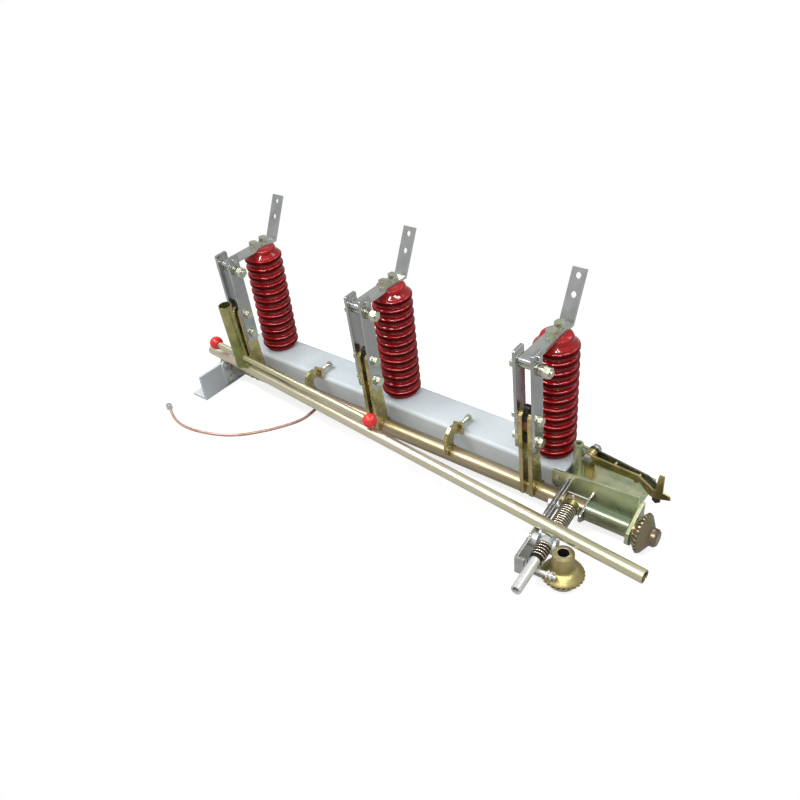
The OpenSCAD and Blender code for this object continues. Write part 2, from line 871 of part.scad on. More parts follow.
module gear_stand() {
  color([0.66, 0.66, 0.58]) place()
  drive_frame() {
    difference() {
      union() {
        translate([-22, -gear2_s - 8, 2]) cube([gear2_x + 22, 16, 4]);
        translate([gear2_x, -gear2_s, 2]) cylinder(h = 4, r = 18);
        translate([-22, -gear2_s - 8, 2]) cube([4, 16, 25]);
      }
      translate([gear2_x, -gear2_s, 1]) cylinder(h = 6, r = 5);
    }
    translate([gear2_x, -gear2_s, 2]) cylinder(h = 24, r = 5);
    translate([gear2_x, -gear2_s, 8]) cylinder(h = 20, r = gear2_bore - run_gap);
    translate([gear2_x, -gear2_s, 6]) cylinder(h = 2 - run_gap, r = 12);
  }
}

module operating_shaft() {
  color([0.78, 0.78, 0.74]) place()
  drive_frame()
    translate([0, 0, drive_z])
      difference() {
        rod_y(-op_end, -collar_s, op_r);
        translate([0, -op_end - 1, 0])
          rotate([-90, 0, 0]) hex(hex_af, 26);
      }
}

module drive_collar() {
  color([0.72, 0.70, 0.60]) place()
  drive_frame()
    translate([0, 0, drive_z])
      difference() {
        union() {
          rod_y(-25, -collar_s, 12);
          translate([0, -20.7, 11]) cylinder(h = 1.6, r = 2.2);
        }
        rod_y(-26, -collar_s + 1, op_r);
      }
}

function coil_ring(i, n, turns, r, len, w, k) =
  [for (j = [0:k - 1])
    let (a = 360*turns*i/n, b = 360*j/k)
    [(r + w*cos(b))*cos(a), -len*i/n + w*sin(b), (r + w*cos(b))*sin(a)]];

// round wire wound round the y axis from y = 0 toward the front
module coil(turns, r, len, w) {
  n = ceil(turns*14);
  k = 6;
  pts = [for (i = [0:n]) each coil_ring(i, n, turns, r, len, w, k)];
  sides = [for (i = [0:n - 1], j = [0:k - 1]) [i*k + j, (i + 1)*k + j, (i + 1)*k + (j + 1)%k, i*k + (j + 1)%k]];
  caps = [[for (j = [0:k - 1]) j], [for (j = [0:k - 1]) n*k + k - 1 - j]];
  polyhedron(points = pts, faces = concat(sides, caps));
}

module return_spring() {
  color([0.62, 0.56, 0.46]) place()
  drive_frame()
    translate([0, -26.3, drive_z]) coil(8.5, 9.9, seat_s - 27.6, 1.2);
}

module torsion_spring() {
  color([0.62, 0.56, 0.46]) place()
  drive_frame()
    translate([0, -yoke_s - 6.4, drive_z]) coil(5, 9.2, 24, 1.1);
}

module free_gear() {
  color([0.74, 0.66, 0.40]) place()
  drive_frame()
    translate([gear2_x, -gear2_s, gear2_z])
      difference() {
        gear_blank(gear2_len, gear2_bore, 14);
        translate([0, 0, 22]) cylinder(h = gear2_len, r = 9.5);
      }
}

module lever_front_outline() {
  translate([lever_x, lever_z]) circle(8);
  translate([0, lever_lift])
    polygon([[lever_x, 84], [406, 80], [421, 70], [430, 64], [434, 93], [441, 93], [441, 66], [450, 64],
      [452, 58], [432, 52], [424, 54], [408, 70], [lever_x, 72]]);
}

module lever_back_outline() {
  translate([lever_x, lever_z]) circle(8);
  translate([0, lever_lift])
    polygon([[lever_x, 84], [414, 72], [430, 60], [434, 34], [428, 30], [423, 34], [422, 54], [410, 62],
      [lever_x, 72]]);
}

module lever() {
  color([0.70, 0.62, 0.36]) place()
  difference() {
    union() {
      along_y(lever_y0 + lever_t, lever_t) lever_front_outline();
      along_y(lever_t + 0.5, lever_t) lever_back_outline();
      translate([404, 0, lever_z - 9]) rod_y(lever_y0 + 1, 1.5, 3.5);
      translate([370, 0, lever_z - 3]) rod_y(lever_y0 + 1, 1.5, 3);
    }
    translate([lever_x, 0, lever_z]) rod_y(lever_y0 - 1, lever_t + 2, 4 + run_gap);
  }
}

module lever_block() {
  color([0.74, 0.70, 0.42]) place()
  difference() {
    union() {
      translate([lever_x - 8, block_y0, 40]) cube([16, block_y1 - block_y0, lever_z - 40]);
      translate([lever_x, 0, lever_z]) rod_y(block_y0, block_y1, 8);
    }
    translate([lever_x, 0, lever_z]) rod_y(block_y0 - 1, block_y1 + 1, 4.02);
  }
}

module lever_bolt() {
  color([0.78, 0.79, 0.80]) place()
  translate([lever_x, 0, lever_z]) {
    rod_y(lever_y0 - 1.5, 13, 4);
    hex_y(lever_y0 - 5.5, lever_y0 - 0.5, 13);
    ring_y(lever_t + 1.1, lever_t + 2.7, 8, 3.9);
    difference() {
      hex_y(lever_t + 2.7, lever_t + 9, 13);
      rod_y(lever_t + 2, lever_t + 10, 3.9);
    }
  }
}

module lock_barrel() {
  color([0.72, 0.72, 0.46]) place()
  translate([319.7, -14, 40]) {
    difference() {
      cylinder(h = 58, r = 6.8);
      translate([0, 0, 40]) cylinder(h = 20, r = 3.6);
    }
    cylinder(h = 3, r = 7.3);
  }
}

module handle_frame() {
  translate([grip_x, grip_y, grip_z])
    rotate([grip_lean, grip_dip, grip_yaw])
      children();
}

module handle_tube() {
  color([0.72, 0.68, 0.40]) place()
  handle_frame()
    difference() {
      translate([0, 0, -18.9]) cylinder(h = 120.9, r = grip_r);
      translate([0, 0, 8]) cylinder(h = 95, r = grip_bore);
      translate([0, 0, -20]) cylinder(h = 30, r = grip_bore - 0.8);
      rod_x(-15, 15, rod_r + 0.1);
    }
}

module handle_rod() {
  color([0.78, 0.76, 0.62]) place()
  handle_frame() rod_x(-rod_left, rod_right, rod_r);
}

module handle_knobs() {
  color([0.85, 0.14, 0.12]) place()
  handle_frame()
    for (x = [-rod_left, rod_right])
      translate([x, 0, 0])
        difference() {
          sphere(knob_r);
          rod_x(x < 0 ? 0 : -20, x < 0 ? 20 : 0, rod_r + 0.02);
        }
}

module extension_tube() {
  color([0.80, 0.72, 0.46]) place()
  translate([tube_x0, tube_y0, tube_z])
    rotate([0, 0, tube_yaw])
      ring_x(0, tube_len, tube_r, tube_r - tube_wall);
}

module earth_lugs() {
  color([0.74, 0.60, 0.44]) place()
  {
    difference() {
      union() {
        translate([-150, beam_y0 - 1.5, 7]) cube([10, 1.5, 14]);
        translate([-145, 0, 6]) rod_y(-52, beam_y0 - 0.5, 3);
      }
      translate([-145, 0, 15]) rod_y(beam_y0 - 3, beam_y0 + 1, 3.2);
    }
    translate([-145, 0, 15]) {
      rod_y(beam_y0 - 2, beam_y0 + beam_t + 5, 3);
      hex_y(beam_y0 - 5.5, beam_y0 - 1.5, 10);
      difference() {
        hex_y(beam_y0 + beam_t, beam_y0 + beam_t + 4, 10);
        rod_y(beam_y0 + beam_t - 1, beam_y0 + beam_t + 5, 2.9);
      }
    }
    translate([-372, -196, 0])
      rotate([0, 0, -26.565])
        difference() {
          union() {
            translate([-16, -5, 1.4]) cube([13, 10, 1.8]);
            translate([-16, 0, 1.4]) cylinder(h = 1.8, r = 5);
            translate([0, 0, 2.6]) rod_x(-5, 0, 2.6);
          }
          translate([-16, 0, 0]) cylinder(h = 5, r = 2.6);
        }
  }
}

function unit(v) = v/norm(v);

function tangent(i) =
  i == 0 ? unit(wire_pts[1] - wire_pts[0]) :
  i == len(wire_pts) - 1 ? unit(wire_pts[i] - wire_pts[i - 1]) :
  unit(wire_pts[i + 1] - wire_pts[i - 1]);

function wire_ring(i) =
  let (t = tangent(i), u = unit(cross(t, [0, 0, 1])), v = cross(u, t))
  [for (j = [0:7]) wire_pts[i] + wire_r*(cos(45*j)*u + sin(45*j)*v)];

module earth_wire() {
  n = len(wire_pts);
  pts = [for (i = [0:n - 1]) each wire_ring(i)];
  sides = [for (i = [0:n - 2], j = [0:7]) [i*8 + j, i*8 + (j + 1)%8, (i + 1)*8 + (j + 1)%8, (i + 1)*8 + j]];
  caps = [[for (j = [0:7]) 7 - j], [for (j = [0:7]) (n - 1)*8 + j]];
  color([0.72, 0.50, 0.42]) place()
  polyhedron(points = pts, faces = concat(sides, caps));
}

beam();
foot_angle();
foot_bolts();
bearing_plate();
bearing_bolts();
bush_left();
bush_right();
drive_bracket();
bracket_bolts();
end_plate();
guide_plate();
insulator_1();
insulator_2();
insulator_3();
base_bolts();
top_inserts();
contact_bar_1();
contact_bar_2();
contact_bar_3();
contact_bolts();
main_shaft();
shaft_collar();
shaft_sleeve();
shaft_pin();
arms_1();
arms_2();
arms_3();
arm_spacers();
blades_1();
blades_2();
blades_3();
blade_bolts();
clamp_bolts();
clamp_springs();
contact_rivets();
stop_arms();
stop_bolts();
bevel_gear();
gear_pin();
drive_straps();
spring_seat();
yoke();
cross_pin();
gear_stand();
operating_shaft();
drive_collar();
return_spring();
torsion_spring();
free_gear();
lever();
lever_bolt();
lever_block();
lock_barrel();
handle_tube();
handle_rod();
handle_knobs();
extension_tube();
earth_lugs();
earth_wire();
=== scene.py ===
import math
import bpy
from mathutils import Matrix, Vector


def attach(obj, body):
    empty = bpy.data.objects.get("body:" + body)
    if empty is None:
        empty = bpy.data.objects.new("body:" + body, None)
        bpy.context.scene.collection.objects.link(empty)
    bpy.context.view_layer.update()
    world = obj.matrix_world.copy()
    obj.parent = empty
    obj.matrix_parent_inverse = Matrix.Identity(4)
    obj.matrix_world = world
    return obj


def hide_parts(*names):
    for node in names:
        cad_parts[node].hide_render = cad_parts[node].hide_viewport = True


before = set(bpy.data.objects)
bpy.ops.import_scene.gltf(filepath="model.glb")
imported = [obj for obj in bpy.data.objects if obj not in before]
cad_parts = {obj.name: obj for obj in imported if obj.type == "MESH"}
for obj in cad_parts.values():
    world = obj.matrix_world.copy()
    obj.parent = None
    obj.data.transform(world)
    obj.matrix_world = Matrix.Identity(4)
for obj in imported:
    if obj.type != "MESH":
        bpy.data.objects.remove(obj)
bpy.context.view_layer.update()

SCENE = bpy.context.scene

# Places in the row frame, in millimetres and degrees.
MM = 0.001
POLES = (-275, 0, 275)
STOPS = (-145, 138)
INSULATOR_Y, BEAM_TOP = 7, 60
SHAFT_Y, SHAFT_Z = -53, 32
ARM_Y, ARM_LEAN = -58.3, 2
DRIVE_X, DRIVE_Z, DRIVE_TURN = 342.5, 45, 5


# ---------------------------------------------------------------- camera

def make_camera():
    """Camera fitted to the photo."""
    right = Vector((0.783373, 0.614305, -0.094642))
    down = Vector((0.306413, -0.514163, -0.801092))
    ahead = Vector((-0.540776, 0.598554, -0.591012))
    focal_px, width_px, sensor = 804.64, 800.0, 36.0
    m = Matrix((right, -down, -ahead)).transposed().to_4x4()
    m.translation = Vector((0.70143, -0.77793, 0.81171))
    data = bpy.data.cameras.new("camera")
    data.sensor_width = sensor
    data.sensor_fit = "AUTO"
    data.lens = focal_px / width_px * sensor
    data.clip_start = 0.02
    data.clip_end = 30.0
    cam = bpy.data.objects.new("camera", data)
    cam.matrix_world = m
    SCENE.collection.objects.link(cam)
    SCENE.camera = cam


make_camera()


# ---------------------------------------------------------------- materials

MIX_FAC, MIX_A, MIX_B, MIX_OUT = 0, 6, 7, 2     # sockets of a Mix node for colours


def fill_ramp(node, stops):
    """Give a colour ramp its stops (position, colour)."""
    els = node.color_ramp.elements
    while len(els) < len(stops):
        els.new(0.5)
    for e, (p, c) in zip(els, stops):
        e.position = p
        e.color = (*c, 1.0)


class Nodes:
    """A small helper that writes one Principled material."""

    def __init__(self, name):
        self.mat = bpy.data.materials.new(name)
        self.mat.use_nodes = True
        self.tree = self.mat.node_tree
        self.tree.nodes.clear()
        self.out = self.new("ShaderNodeOutputMaterial")
        self.bsdf = self.new("ShaderNodeBsdfPrincipled")
        self.link(self.bsdf.outputs[0], self.out.inputs[0])
        self.coord = self.new("ShaderNodeTexCoord").outputs["Object"]

    def new(self, kind, **props):
        n = self.tree.nodes.new(kind)
        for k, v in props.items():
            setattr(n, k, v)
        return n

    def link(self, a, b):
        self.tree.links.new(a, b)

    def set(self, **values):
        for k, v in values.items():
            self.bsdf.inputs[k.replace("_", " ")].default_value = v

    def noise(self, scale, detail=4.0, rough=0.55, stretch=None):
        n = self.new("ShaderNodeTexNoise")
        n.inputs["Scale"].default_value = scale
        n.inputs["Detail"].default_value = detail
        n.inputs["Roughness"].default_value = rough
        src = self.coord
        if stretch:
            m = self.new("ShaderNodeMapping")
            m.inputs["Scale"].default_value = stretch
            self.link(src, m.inputs["Vector"])
            src = m.outputs["Vector"]
        self.link(src, n.inputs["Vector"])
        return n.outputs["Fac"]

    def ramp(self, fac, stops):
        r = self.new("ShaderNodeValToRGB")
        fill_ramp(r, stops)
        self.link(fac, r.inputs["Fac"])
        return r.outputs["Color"]

    def mix(self, fac, a, b):
        """From a to b by fac. Each of them is a value or the output of a node."""
        n = self.new("ShaderNodeMix", data_type="RGBA")
        if isinstance(fac, float):
            n.inputs[MIX_FAC].default_value = fac
        else:
            self.link(fac, n.inputs[MIX_FAC])
        for sock, v in ((n.inputs[MIX_A], a), (n.inputs[MIX_B], b)):
            if isinstance(v, tuple):
                sock.default_value = (*v, 1.0)
            else:
                self.link(v, sock)
        return n.outputs[MIX_OUT]

    def span(self, fac, lo, hi, a=0.0, b=1.0):
        """Take fac from the range lo..hi to the range a..b."""
        n = self.new("ShaderNodeMapRange")
        n.inputs["From Min"].default_value = lo
        n.inputs["From Max"].default_value = hi
        n.inputs["To Min"].default_value = a
        n.inputs["To Max"].default_value = b
        self.link(fac, n.inputs["Value"])
        return n.outputs["Result"]

    def bump(self, height, strength, dist):
        n = self.new("ShaderNodeBump")
        n.inputs["Strength"].default_value = strength
        n.inputs["Distance"].default_value = dist
        self.link(height, n.inputs["Height"])
        self.link(n.outputs["Normal"], self.bsdf.inputs["Normal"])

    def colour(self, sock):
        self.link(sock, self.bsdf.inputs["Base Color"])

    def rough(self, cloud, low, high):
        """Roughness from low to high with the middle of a noise."""
        self.link(self.span(cloud, 0.3, 0.7, low, high), self.bsdf.inputs["Roughness"])


def lin(r, g, b):
    """Linear colour from sRGB values of 0 to 255."""
    def f(v):
        v /= 255.0
        return v / 12.92 if v <= 0.04045 else ((v + 0.055) / 1.055) ** 2.4
    return (f(r), f(g), f(b))


def paint():
    """Grey enamel with a faint orange peel and a little dust."""
    n = Nodes("grey_enamel")
    tone = n.ramp(n.noise(9.0, 3.0), [(0.3, lin(190, 199, 204)), (0.55, lin(203, 211, 215)), (0.8, lin(210, 217, 220))])
    dust = n.span(n.noise(160.0, 2.0), 0.62, 0.75, 0.0, 0.25)
    n.colour(n.mix(dust, tone, lin(168, 172, 172)))
    n.rough(n.noise(35.0), 0.34, 0.48)
    n.bump(n.noise(900.0, 2.0), 0.12, 0.0002)
    n.set(Metallic=0.0, Specular_IOR_Level=0.5)
    return n.mat


def resin(name, tones, gloss, level):
    """Cast resin in three tones, with a roughness that starts at gloss."""
    n = Nodes(name)
    n.colour(n.ramp(n.noise(14.0, 3.0), [(p, lin(*c)) for p, c in zip((0.3, 0.55, 0.8), tones)]))
    n.rough(n.noise(60.0), gloss, gloss + 0.05)
    n.bump(n.noise(120.0, 2.0), 0.03, 0.0004)
    n.set(Metallic=0.0, Specular_IOR_Level=level)
    return n.mat


FINE_SHARE = 0.2                    # share of the small clouds in the colour of the plating
X_AXIS, Y_AXIS = 0, 1
ALONG = (0.12, 1.0, 1.0)            # clouds drawn out along the shafts and tubes


def zinc(name, stops, metal=0.9, rough=(0.24, 0.36), scale=22.0, relief=0.03, stretch=(1.0, 1.0, 1.0),
         grain=220.0, zones=()):
    """Plated steel: soft cloudy colour, small changes of gloss and a faint grain.
    A zone (axis, start, end, colour), in metres of the piece, goes over to its colour from start to end."""
    n = Nodes(name)
    cloud = n.noise(scale, 4.0, 0.5, stretch)
    small = n.noise(scale * 5.0, 2.0, 0.5, stretch)
    sep = n.new("ShaderNodeSeparateColor")
    n.link(n.mix(FINE_SHARE, cloud, small), sep.inputs[0])
    colour = n.ramp(sep.outputs[0], stops)
    if zones:
        xyz = n.new("ShaderNodeSeparateXYZ")
        n.link(n.coord, xyz.inputs[0])
        for axis, start, end, tint in zones:
            colour = n.mix(n.span(xyz.outputs[axis], start, end), colour, tint)
    n.colour(colour)
    n.rough(n.noise(scale * 2.0, 2.0, 0.5, stretch), *rough)
    n.bump(n.noise(grain, 1.0, 0.5), relief, 0.0002)
    n.set(Metallic=metal)
    return n.mat


YELLOW_STOPS = [(0.3, lin(138, 130, 80)), (0.45, lin(172, 162, 106)), (0.55, lin(198, 176, 132)),
                (0.65, lin(166, 164, 108)), (0.8, lin(208, 192, 148))]
# Painted shade: the rear cheek of the lever turns dark grey.
REAR_CHEEK_SHADE = (Y_AXIS, 0.005, 0.0068, lin(92, 88, 80))
# Painted highlight: the teeth of the bevel gear turn pale.
GEAR_TEETH_HIGHLIGHT = (X_AXIS, 0.4405, 0.4385, lin(184, 178, 156))
GEAR_HUB = (X_AXIS, 0.4475, 0.4495, lin(134, 118, 98))

YELLOW = zinc("yellow_zinc", YELLOW_STOPS, scale=30.0, rough=(0.2, 0.34))
LEVER = zinc("lever_zinc", YELLOW_STOPS, scale=30.0, rough=(0.2, 0.34), zones=[REAR_CHEEK_SHADE])
STRAW = zinc("straw_zinc", [(0.3, lin(150, 140, 88)), (0.46, lin(172, 160, 106)), (0.56, lin(190, 174, 124)),
                            (0.8, lin(184, 176, 132))], metal=0.8, rough=(0.28, 0.4), scale=34.0)
TUBE = zinc("pale_yellow_zinc", [(0.3, lin(190, 186, 148)), (0.46, lin(214, 210, 178)), (0.56, lin(224, 214, 192)),
                                 (0.8, lin(228, 224, 200))], rough=(0.3, 0.37), stretch=ALONG, grain=40.0)
OLIVE = zinc("olive_zinc", [(0.3, lin(120, 126, 74)), (0.46, lin(150, 152, 94)), (0.56, lin(176, 166, 116)),
                            (0.8, lin(186, 180, 130))], scale=26.0)
PINK = zinc("pink_zinc", [(0.3, lin(146, 126, 102)), (0.46, lin(180, 152, 132)), (0.56, lin(168, 156, 124)),
                          (0.8, lin(196, 180, 158))], rough=(0.32, 0.4), stretch=ALONG, grain=40.0)
GREEN = zinc("green_zinc", [(0.3, lin(148, 160, 122)), (0.46, lin(176, 186, 150)), (0.58, lin(200, 200, 168)),
                            (0.8, lin(184, 194, 162))], metal=0.7, rough=(0.26, 0.38), scale=26.0)
SLEEVE = zinc("dark_green_zinc", [(0.3, lin(110, 128, 110)), (0.5, lin(132, 148, 124)), (0.62, lin(146, 144, 116)),
                                  (0.8, lin(122, 146, 132))], metal=0.85, stretch=ALONG)
WHITE = zinc("white_zinc", [(0.3, lin(178, 179, 175)), (0.5, lin(202, 203, 199)), (0.62, lin(206, 202, 190)),
                            (0.8, lin(216, 217, 215))], rough=(0.22, 0.32))
BRIGHT = zinc("bright_zinc", [(0.3, lin(216, 217, 214)), (0.6, lin(230, 230, 226)), (0.8, lin(236, 236, 234))],
              metal=0.5, rough=(0.2, 0.28), relief=0.01)
PALE = zinc("pale_zinc", [(0.3, lin(188, 195, 195)), (0.6, lin(206, 212, 211)), (0.8, lin(216, 220, 219))],
            metal=0.35, rough=(0.3, 0.4))
WARM = zinc("warm_zinc", [(0.3, lin(168, 168, 148)), (0.46, lin(200, 200, 182)), (0.6, lin(190, 196, 174)),
                          (0.8, lin(218, 214, 200))], rough=(0.2, 0.3), scale=50.0)
SILVER = zinc("silver_plate", [(0.3, lin(172, 175, 174)), (0.5, lin(192, 195, 193)), (0.62, lin(197, 198, 194)),
                               (0.8, lin(208, 210, 207))], rough=(0.17, 0.3), relief=0.006)
BLADE = zinc("blade_plate", [(0.3, lin(156, 159, 158)), (0.5, lin(174, 177, 175)), (0.62, lin(179, 180, 176)),
                             (0.8, lin(189, 191, 188))], rough=(0.17, 0.3), relief=0.006)
DARK = zinc("dark_steel", [(0.3, lin(34, 32, 30)), (0.5, lin(50, 47, 44)), (0.8, lin(78, 72, 64))], metal=0.7,
            rough=(0.34, 0.5))
# Painted shade: near black, for the inside of the gear hub and the gaps between the coil turns.
SHADE_DARK = zinc("painted_shade_dark", [(0.3, lin(22, 20, 16)), (0.7, lin(40, 36, 28))], metal=0.3, rough=(0.5, 0.7))
GEAR = zinc("gear_steel", [(0.3, lin(98, 98, 66)), (0.46, lin(128, 126, 88)), (0.6, lin(146, 132, 110)),
                           (0.8, lin(132, 134, 104))], scale=40.0,
            zones=[GEAR_TEETH_HIGHLIGHT, GEAR_HUB])
BRONZE = zinc("bronze", [(0.3, lin(150, 112, 60)), (0.5, lin(184, 142, 82)), (0.8, lin(200, 164, 104))],
              rough=(0.3, 0.42))
SPRING = zinc("spring_steel", [(0.3, lin(168, 156, 136)), (0.5, lin(196, 186, 168)), (0.8, lin(214, 208, 196))],
              rough=(0.2, 0.3), scale=60.0)
WELD = zinc("weld_bead", [(0.3, lin(110, 100, 66)), (0.5, lin(150, 138, 94)), (0.8, lin(184, 168, 124))],
            scale=90.0)


def ball():
    """Glossy red plastic."""
    n = Nodes("red_ball")
    n.colour(n.ramp(n.noise(40.0, 3.0), [(0.3, lin(206, 30, 24)), (0.7, lin(226, 48, 38))]))
    n.rough(n.noise(90.0), 0.2, 0.3)
    n.bump(n.noise(300.0, 2.0), 0.04, 0.0003)
    n.set(Metallic=0.0, Coat_Weight=0.4, Coat_Roughness=0.1)
    return n.mat


def wire_look():
    """Copper strands seen through a clear sleeve."""
    n = Nodes("sleeved_copper")
    w = n.new("ShaderNodeTexWave", wave_type="BANDS", bands_direction="DIAGONAL")
    w.inputs["Scale"].default_value = 260.0
    w.inputs["Distortion"].default_value = 1.5
    w.inputs["Detail"].default_value = 2.0
    n.link(n.coord, w.inputs["Vector"])
    strands = n.ramp(w.outputs["Fac"], [(0.15, lin(128, 82, 66)), (0.5, lin(178, 124, 102)), (0.9, lin(214, 168, 146))])
    n.colour(n.mix(n.span(n.noise(50.0), 0.35, 0.75, 0.0, 0.45), strands, lin(222, 196, 184)))
    n.rough(n.noise(70.0), 0.2, 0.34)
    n.bump(w.outputs["Fac"], 0.15, 0.0003)
    n.set(Metallic=0.15, Coat_Weight=0.8, Coat_Roughness=0.1)
    return n.mat


PAINT, BALL, WIRE = paint(), ball(), wire_look()
RESIN = resin("red_resin", ((142, 9, 12), (158, 12, 15), (170, 16, 18)), 0.05, 0.5)
# Painted shade: a darker copy of the red resin for the rims and undersides of the sheds.
RIM_SHADE = resin("red_resin_painted_shade", ((82, 2, 6), (92, 3, 8), (102, 5, 10)), 0.12, 0.03)

LOOKS = {
    PAINT: ["beam", "foot_angle", "bearing_plate"],
    YELLOW: ["arms_1", "arms_2", "arms_3", "stop_arms", "drive_collar", "lever_block"],
    LEVER: ["lever"],
    STRAW: ["free_gear"],
    TUBE: ["handle_rod", "extension_tube"],
    OLIVE: ["handle_tube"],
    PINK: ["main_shaft"],
    GREEN: ["drive_bracket", "end_plate", "lock_barrel"],
    SLEEVE: ["shaft_sleeve"],
    WHITE: ["foot_bolts", "bearing_bolts", "bracket_bolts", "guide_plate", "base_bolts", "shaft_collar",
            "gear_pin", "drive_straps", "spring_seat", "gear_stand", "lever_bolt", "earth_lugs"],
    BRIGHT: ["operating_shaft", "cross_pin", "shaft_pin"],
    PALE: ["yoke"],
    WARM: ["contact_bolts", "blade_bolts", "clamp_bolts", "stop_bolts"],
    SILVER: ["contact_bar_1", "contact_bar_2", "contact_bar_3", "contact_rivets"],
    BLADE: ["blades_1", "blades_2", "blades_3"],
    DARK: ["arm_spacers"],
    GEAR: ["bevel_gear"],
    BRONZE: ["bush_left", "bush_right", "top_inserts"],
    SPRING: ["return_spring", "torsion_spring", "clamp_springs"],
    RESIN: ["insulator_1", "insulator_2", "insulator_3"],
    BALL: ["handle_knobs"],
    WIRE: ["earth_wire"],
}
ROUND_EDGE = {      # radius in millimetres: nodes
    1.0: ["beam"],
    0.8: ["foot_angle", "yoke", "main_shaft"],
    0.7: ["stop_arms"],
    0.6: ["drive_bracket", "arms_1", "arms_2", "arms_3", "lever", "operating_shaft"],
    0.5: ["end_plate", "bearing_plate", "blades_1", "blades_2", "blades_3", "spring_seat", "drive_straps",
          "lever_block", "drive_collar", "lock_barrel", "base_bolts", "shaft_collar"],
    0.45: ["contact_bolts"],
    0.4: ["guide_plate", "shaft_sleeve", "handle_tube", "extension_tube", "gear_stand", "blade_bolts", "clamp_bolts",
          "foot_bolts", "lever_bolt", "contact_rivets"],
    0.35: ["bearing_bolts", "stop_bolts"],
    0.3: ["bracket_bolts", "cross_pin"],
    0.25: ["free_gear", "bevel_gear", "earth_lugs"],
}


def dress():
    """Give every CAD node its material, and most of them rounded edges."""
    for mat, names in LOOKS.items():
        for name in names:
            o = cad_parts[name]
            o.data.materials.clear()
            o.data.materials.append(mat)
    for width, names in ROUND_EDGE.items():
        for name in names:
            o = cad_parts[name]
            weld = o.modifiers.new("weld", "WELD")
            weld.merge_threshold = 0.00001
            bev = o.modifiers.new("edges", "BEVEL")
            bev.width = width * MM
            bev.segments = 2
            bev.limit_method = "ANGLE"
            bev.angle_limit = math.radians(35)
            bev.use_clamp_overlap = True
            bev.loop_slide = False
            even = o.modifiers.new("even_normals", "WEIGHTED_NORMAL")
            even.weight = 80
            even.keep_sharp = True


dress()


# ---------------------------------------------------------------- mesh helpers

def piece(name, verts, faces, mat, body, smooth):
    """Mesh object that rides on a body. Faces that meet at less than smooth degrees are shaded as one."""
    me = bpy.data.meshes.new(name)
    me.from_pydata([tuple(v) for v in verts], [], faces)
    me.validate()
    me.update()
    o = bpy.data.objects.new(name, me)
    SCENE.collection.objects.link(o)
    me.materials.append(mat)
    for p in me.polygons:
        p.use_smooth = True
    me.set_sharp_from_angle(angle=math.radians(smooth))
    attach(o, body)
    return o


def axes_round(axis):
    """Unit vector along an axis and two more across it."""
    a = Vector(axis).normalized()
    u = a.orthogonal().normalized()
    return a, u, a.cross(u)


def spoke(u, v, k, seg):
    """Direction k of seg directions round the circle of u and v."""
    t = 2 * math.pi * k / seg
    return u * math.cos(t) + v * math.sin(t)


def lathe_data(profile, origin, axis, seg):
    """Body of revolution. profile is a list of (radius, height along the axis) in millimetres."""
    a, u, v = axes_round(axis)
    o = Vector(origin) * MM
    verts, faces, rings = [], [], []
    for r, h in profile:
        count = seg if r else 1
        rings.append(range(len(verts), len(verts) + count))
        verts += [o + a * h * MM + spoke(u, v, i, seg) * r * MM for i in range(count)]
    for p, q in zip(rings, rings[1:]):
        for i in range(seg):
            j = (i + 1) % seg
            if len(p) == 1:
                faces.append((p[0], q[j], q[i]))
            elif len(q) == 1:
                faces.append((p[i], p[j], q[0]))
            else:
                faces.append((p[i], p[j], q[j], q[i]))
    return verts, faces


def tube_faces(rings, seg):
    """Sides and both ends of a tube whose rings of seg points follow one another."""
    faces = []
    for i in range(rings - 1):
        for k in range(seg):
            j = (k + 1) % seg
            faces.append((i * seg + k, i * seg + j, (i + 1) * seg + j, (i + 1) * seg + k))
    faces.append(tuple(range(seg))[::-1])
    faces.append(tuple((rings - 1) * seg + k for k in range(seg)))
    return faces


def sweep_data(pts, radii, seg):
    """Round tube along points in millimetres. radii is one radius, or a list with one for each point."""
    pts = [Vector(p) * MM for p in pts]
    if not isinstance(radii, list):
        radii = [radii] * len(pts)
    verts, u = [], None
    for i, (p, r) in enumerate(zip(pts, radii)):
        t = (pts[min(i + 1, len(pts) - 1)] - pts[max(i - 1, 0)]).normalized()
        if u is None:
            u = t.orthogonal().normalized()
        u = (u - t * u.dot(t)).normalized()
        v = t.cross(u)
        verts += [p + spoke(u, v, k, seg) * r * MM for k in range(seg)]
    return verts, tube_faces(len(pts), seg)


def smooth_path(pts, per):
    """Catmull-Rom curve through the points, with per steps between two of them."""
    p = [Vector(q) for q in pts]
    p = [p[0] * 2 - p[1]] + p + [p[-1] * 2 - p[-2]]
    out = []
    for i in range(1, len(p) - 2):
        a, b, c, d = p[i - 1], p[i], p[i + 1], p[i + 2]
        for k in range(per):
            t = k / per
            out.append(0.5 * ((2 * b) + (c - a) * t + (2 * a - 5 * b + 4 * c - d) * t * t
                              + (3 * b - a - 3 * c + d) * t ** 3))
    out.append(p[-2])
    return out


def drive(xp, s, z):
    """Point of the front drive's own frame, which is turned five degrees, in the row frame."""
    c, d = math.cos(math.radians(DRIVE_TURN)), math.sin(math.radians(DRIVE_TURN))
    return Vector((DRIVE_X + xp * c + s * d, SHAFT_Y + xp * d - s * c, z))


def arm_point(x, y, z):
    """Point of a pole's arm frame, which leans two degrees, in the row frame."""
    c, d = math.cos(math.radians(ARM_LEAN)), math.sin(math.radians(ARM_LEAN))
    return Vector((x, ARM_Y + y * c - z * d, SHAFT_Z + y * d + z * c))


# ---------------------------------------------------------------- insulators

SHEDS, FIRST_SHED, LAST_SHED = 12, 12.2, 174.7
CORE_R, RIM_R, CAP_START, INSULATOR_H = 25.0, 31.0, 3.7, 191.45
INSULATOR_SEG = 128


